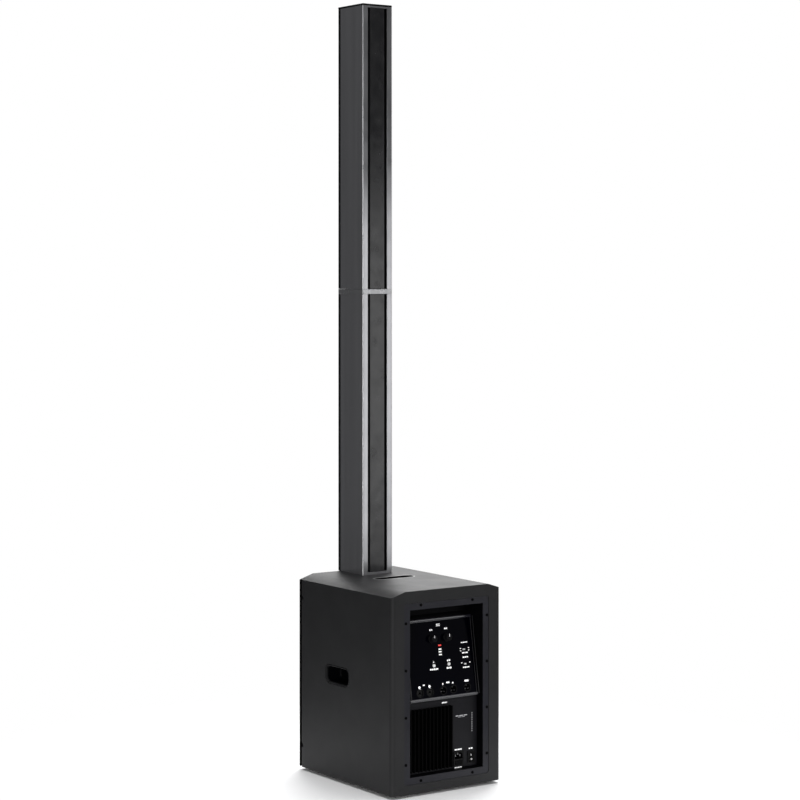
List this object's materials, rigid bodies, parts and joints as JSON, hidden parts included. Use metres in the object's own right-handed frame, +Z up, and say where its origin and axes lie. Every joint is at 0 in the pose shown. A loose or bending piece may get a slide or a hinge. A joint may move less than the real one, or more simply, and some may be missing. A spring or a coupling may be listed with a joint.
{
  "type": "line array speaker",
  "caption": "Column loudspeaker: a line array column in lift-off sections stands on a wooden subwoofer cabinet with a recessed rear control panel.",
  "frame": {"origin": "centre of the footprint, on the floor under the feet", "axes": "+Z up; the drivers face -Y and the control panel faces +Y; +X is the left side seen from behind"},
  "size_m": [0.336, 0.425, 1.995],
  "materials": {
    "cabinet_finish": "fine textured black paint on plywood",
    "baffle_board": "flat black paint on plywood",
    "bare_plywood": "bare birch plywood",
    "moulded_black": "finely grained black moulding",
    "grille_steel": "black powder coat on perforated steel",
    "black_steel": "black oxide on steel screws",
    "rubber": "matt black rubber",
    "driver_steel": "black enamel on pressed steel",
    "magnet": "dark ferrite between zinc plated steel plates",
    "cone_paper": "treated black paper pulp",
    "copper": "varnished copper winding",
    "spider_cloth": "resin treated woven cloth",
    "tray_plastic": "fine grained moulding, satin",
    "bare_steel": "zinc plated sheet",
    "gloss_panel": null,
    "amp_plate_paint": "satin powder coat",
    "black_anodised": "black anodised extrusion",
    "knob_plastic": "soft touch black with a white pointer",
    "button_white": "white moulded caps",
    "light_lens": "tinted light lenses",
    "socket_plastic": "black glass filled moulding",
    "latch_metal": "bright pressed steel",
    "pin_metal": "silver plated contacts",
    "drawer_plastic": "dark grey moulding",
    "rocker_plastic": "black moulded rocker with white marks",
    "circuit_board": "green circuit board",
    "column_aluminium": "satin dark grey coat on extruded aluminium",
    "back_panel_plastic": "fine grained dark grey insert",
    "collar_aluminium": "satin grey casting",
    "cap_aluminium": "satin black end cap"
  },
  "bodies": {
    "cabinet": {"cabinet_shell": "cabinet_finish", "front_baffle": "baffle_board", "cabinet_brace": "bare_plywood", "port_tubes": "moulded_black", "front_grille": "grille_steel", "cabinet_screws": "black_steel", "side_handles": "moulded_black", "top_handle": "moulded_black", "rubber_feet": "rubber", "column_socket": "moulded_black", "woofer_frame": "driver_steel", "woofer_magnet": "magnet", "woofer_surround": "rubber", "woofer_spider": "spider_cloth", "rear_tray": "tray_plastic", "tray_screws": "black_steel", "amp_cover": "bare_steel", "control_panel": "gloss_panel", "amp_plate": "amp_plate_paint", "heat_sink": "black_anodised", "pots": "bare_steel", "switch_housings": "moulded_black", "meter_lights": "light_lens", "combo_sockets": "socket_plastic", "output_sockets": "socket_plastic", "socket_pins": "pin_metal", "mains_inlet": "socket_plastic", "rocker_housing": "socket_plastic", "input_board": "circuit_board", "amp_board": "circuit_board", "power_transformer": "copper"},
    "woofer_moving_parts": {"woofer_cone": "cone_paper", "woofer_dust_cap": "cone_paper", "woofer_voice_coil": "copper"},
    "left_knob": {"level_knob_left": "knob_plastic"},
    "right_knob": {"level_knob_right": "knob_plastic"},
    "left_button": {"push_button_left": "button_white"},
    "right_button": {"push_button_right": "button_white"},
    "upper_slider": {"slide_switch_upper": "button_white"},
    "lower_slider": {"slide_switch_lower": "button_white"},
    "left_latch": {"latch_left": "latch_metal"},
    "right_latch": {"latch_right": "latch_metal"},
    "fuse_drawer": {"fuse_drawer": "drawer_plastic"},
    "power_rocker": {"power_rocker": "rocker_plastic"},
    "lower_column": {"lower_shell": "column_aluminium", "lower_back_panel": "back_panel_plastic", "lower_grille": "grille_steel", "lower_plug": "moulded_black", "joint_collar": "collar_aluminium", "lower_driver_frames": "driver_steel", "lower_surrounds": "rubber"},
    "lower_column_cones": {"lower_cones": "cone_paper"},
    "upper_column": {"upper_shell": "column_aluminium", "upper_back_panel": "back_panel_plastic", "upper_grille": "grille_steel", "upper_plug": "moulded_black", "top_cap": "cap_aluminium", "upper_driver_frames": "driver_steel", "upper_surrounds": "rubber"},
    "upper_column_cones": {"upper_cones": "cone_paper"}
  },
  "joints": [
    {"name": "lower_column_lift", "type": "slide", "parent": "cabinet", "child": "lower_column", "axis": [0, 0, 1], "range_m": [0, 0.06]},
    {"name": "upper_column_lift", "type": "slide", "parent": "lower_column", "child": "upper_column", "axis": [0, 0, 1], "range_m": [0, 0.06]},
    {"name": "woofer_stroke", "type": "slide", "parent": "cabinet", "child": "woofer_moving_parts", "axis": [0, -1, 0], "range_m": [-0.005, 0.005], "stiffness_N_per_m": 2500, "deforming": ["woofer_surround", "woofer_spider"]},
    {"name": "lower_driver_stroke", "type": "slide", "parent": "lower_column", "child": "lower_column_cones", "axis": [0, -1, 0], "range_m": [-0.001, 0.001], "stiffness_N_per_m": 4000, "deforming": ["lower_surrounds"]},
    {"name": "upper_driver_stroke", "type": "slide", "parent": "upper_column", "child": "upper_column_cones", "axis": [0, -1, 0], "range_m": [-0.001, 0.001], "stiffness_N_per_m": 4000, "deforming": ["upper_surrounds"]},
    {"name": "left_knob_turn", "type": "hinge", "parent": "cabinet", "child": "left_knob", "pos_m": [0.023, 0.17758, 0.37818], "axis": [0, 0.9881, 0.1541], "range_deg": [-150, 150]},
    {"name": "right_knob_turn", "type": "hinge", "parent": "cabinet", "child": "right_knob", "pos_m": [-0.023, 0.17758, 0.37818], "axis": [0, 0.9881, 0.1541], "range_deg": [-150, 150]},
    {"name": "left_button_press", "type": "slide", "parent": "cabinet", "child": "left_button", "axis": [0, -0.9881, -0.1541], "range_m": [0, 0.002], "stiffness_N_per_m": 400},
    {"name": "right_button_press", "type": "slide", "parent": "cabinet", "child": "right_button", "axis": [0, -0.9881, -0.1541], "range_m": [0, 0.002], "stiffness_N_per_m": 400},
    {"name": "upper_slider_shift", "type": "slide", "parent": "cabinet", "child": "upper_slider", "axis": [-1, 0, 0], "range_m": [0, 0.004]},
    {"name": "lower_slider_shift", "type": "slide", "parent": "cabinet", "child": "lower_slider", "axis": [-1, 0, 0], "range_m": [0, 0.004]},
    {"name": "left_latch_press", "type": "slide", "parent": "cabinet", "child": "left_latch", "axis": [0, -0.9881, -0.1541], "range_m": [0, 0.0015], "stiffness_N_per_m": 500},
    {"name": "right_latch_press", "type": "slide", "parent": "cabinet", "child": "right_latch", "axis": [0, -0.9881, -0.1541], "range_m": [0, 0.0015], "stiffness_N_per_m": 500},
    {"name": "fuse_drawer_pull", "type": "slide", "parent": "cabinet", "child": "fuse_drawer", "axis": [0, 1, 0], "range_m": [0, 0.02]},
    {"name": "power_rocker_tilt", "type": "hinge", "parent": "cabinet", "child": "power_rocker", "pos_m": [-0.088, 0.1925, 0.072], "axis": [-1, 0, 0], "range_deg": [0, 16]}
  ]
}
